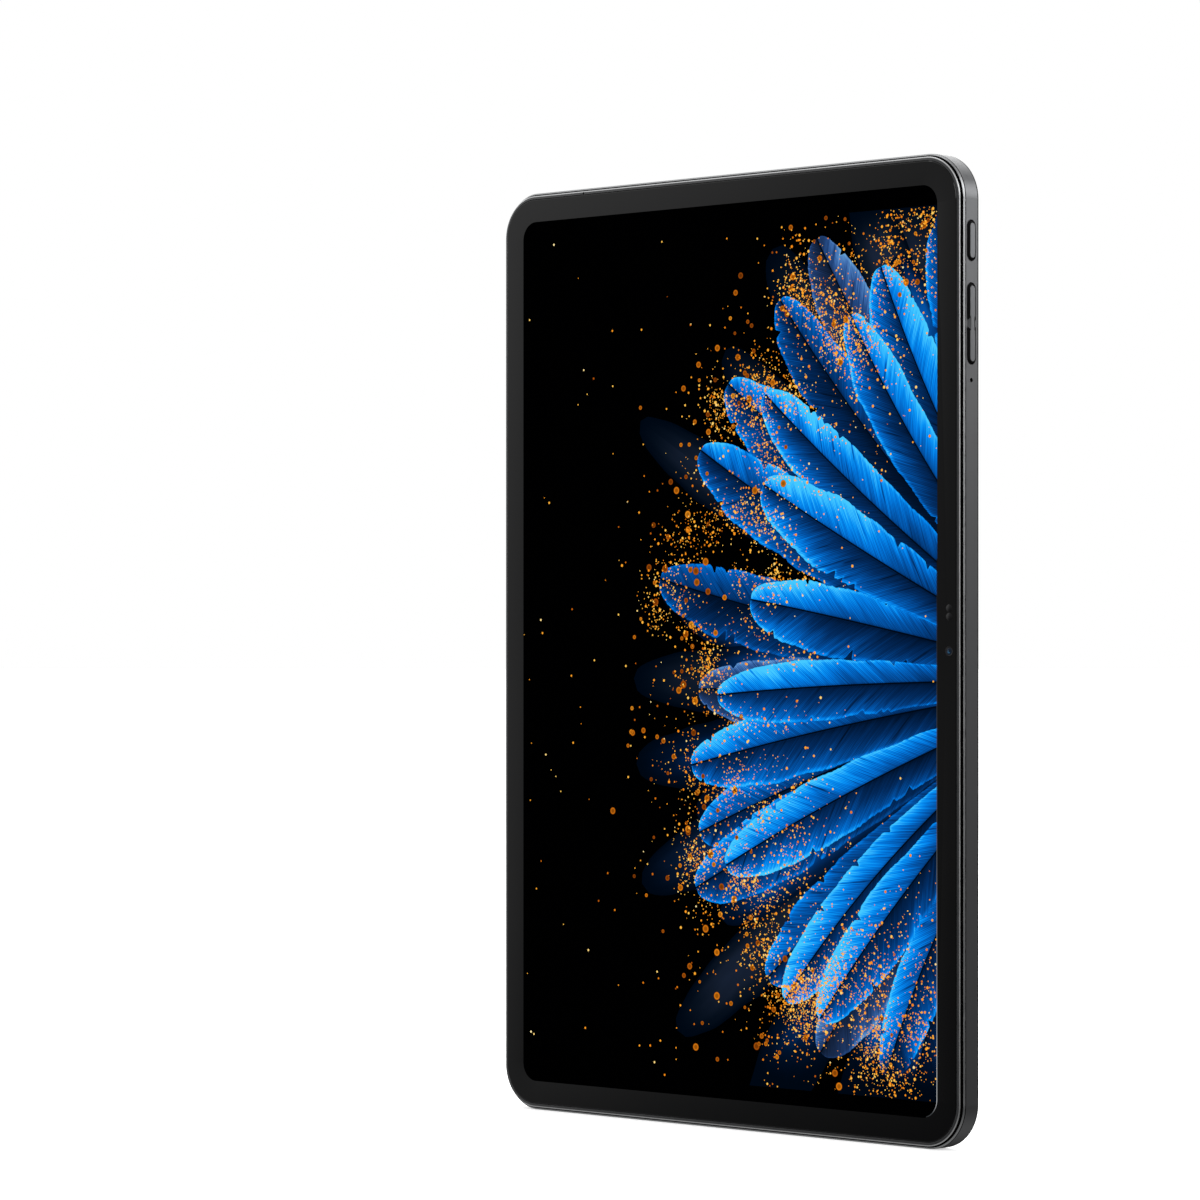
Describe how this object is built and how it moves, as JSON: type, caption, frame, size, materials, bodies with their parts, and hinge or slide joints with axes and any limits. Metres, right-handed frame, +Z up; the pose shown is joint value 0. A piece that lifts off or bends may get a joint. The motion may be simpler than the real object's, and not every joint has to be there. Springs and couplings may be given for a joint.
{
  "type": "tablet computer",
  "caption": "Thin slab tablet computer with a full-face display, sprung side keys and a raised pill-shaped camera island on its metal back.",
  "frame": {"origin": "middle of the footprint that the tablet stands on when it stands upright on its bottom edge, which is the midpoint of its whole thickness, camera island included", "axes": "+Z up along the long side, from the port's edge to the camera's edge; the display faces -Y; the camera island is on +Y; the side keys are on +X"},
  "size_m": [0.1644, 0.0094, 0.253],
  "materials": {
    "anodised_shell": "bead-blasted dark graphite anodising, satin",
    "window_coat": "painted to match the shell, satin",
    "rim_metal": "dark satin with a fine polished edge",
    "cover_glass": "gloss, black printed border and an anti-smudge coat",
    "display_cell": "dark liquid crystal cell",
    "light_guide": "translucent white stack of films",
    "stamped_steel": "thin stamped sheet",
    "key_metal": "anodised to match the shell, polished edge",
    "island_metal": "polished dark wall with a bright chamfer",
    "island_glass": "black gloss",
    "ring_steel": "polished lip, spun inner slope",
    "lens_glass": "coated optical glass, blue and teal glints",
    "plate_grey": "dark grey gloss",
    "flash_cream": "cream diffuser with a fine prism pattern",
    "led_yellow": "phosphor yellow",
    "module_black": "fine matt",
    "circuit_board": "green solder mask",
    "chip_black": "moulded epoxy",
    "graphite": "graphite film",
    "cell_foil": "dark coated pouch foil",
    "white_tape": "stretch adhesive",
    "flex_copper": "polyimide over copper",
    "black_gasket": "thin foam tape",
    "magnet_plate": "nickel plate",
    "screw_steel": "small machine screws",
    "mesh_black": "woven mesh",
    "port_steel": "plain drawn shell"
  },
  "bodies": {
    "tablet_body": {"back_housing": "anodised_shell", "stylus_window": "window_coat", "front_bracket": "rim_metal", "glass_gasket": "black_gasket", "cover_glass": "cover_glass", "display_panel": "display_cell", "backlight_unit": "light_guide", "display_back_plate": "stamped_steel", "key_switch_flex": "flex_copper", "key_bracket": "stamped_steel", "island_frame": "island_metal", "island_glass": "island_glass", "main_lens_ring": "ring_steel", "main_lens_window": "lens_glass", "main_lens_barrel": "module_black", "island_plate": "plate_grey", "second_lens_window": "lens_glass", "flash_window": "island_glass", "flash_lens": "flash_cream", "flash_led": "led_yellow", "main_camera": "module_black", "second_camera": "module_black", "camera_bracket": "stamped_steel", "front_camera": "module_black", "light_sensors": "module_black", "microphones": "magnet_plate", "usb_shell": "port_steel", "usb_tongue": "module_black", "main_board": "circuit_board", "board_chips": "chip_black", "shield_can_main": "stamped_steel", "shield_can_radio": "stamped_steel", "thermal_sheet": "graphite", "battery_cell_left": "cell_foil", "battery_cell_right": "cell_foil", "battery_board": "circuit_board", "battery_adhesive": "white_tape", "sub_board": "circuit_board", "main_flex": "flex_copper", "display_flex": "flex_copper", "speaker_top_left": "module_black", "speaker_top_right": "module_black", "speaker_bottom_left": "module_black", "speaker_bottom_right": "module_black", "speaker_meshes": "mesh_black", "wifi_antenna_upper": "flex_copper", "wifi_antenna_lower": "flex_copper", "stylus_coil": "flex_copper", "stylus_magnets": "magnet_plate", "screws": "screw_steel"},
    "power_key": {"power_key": "key_metal"},
    "volume_key": {"volume_key": "key_metal"}
  },
  "joints": [
    {"name": "power_key_press", "type": "slide", "parent": "tablet_body", "child": "power_key", "axis": [1, 0, 0], "range_m": [-0.0003, 0], "stiffness_N_per_m": 3000},
    {"name": "volume_key_rock", "type": "hinge", "parent": "tablet_body", "child": "volume_key", "pos_m": [0.0812, -0.00095, 0.2094], "axis": [0, 1, 0], "range_deg": [-1.3, 1.3], "stiffness_Nm_per_rad": 0.5}
  ]
}
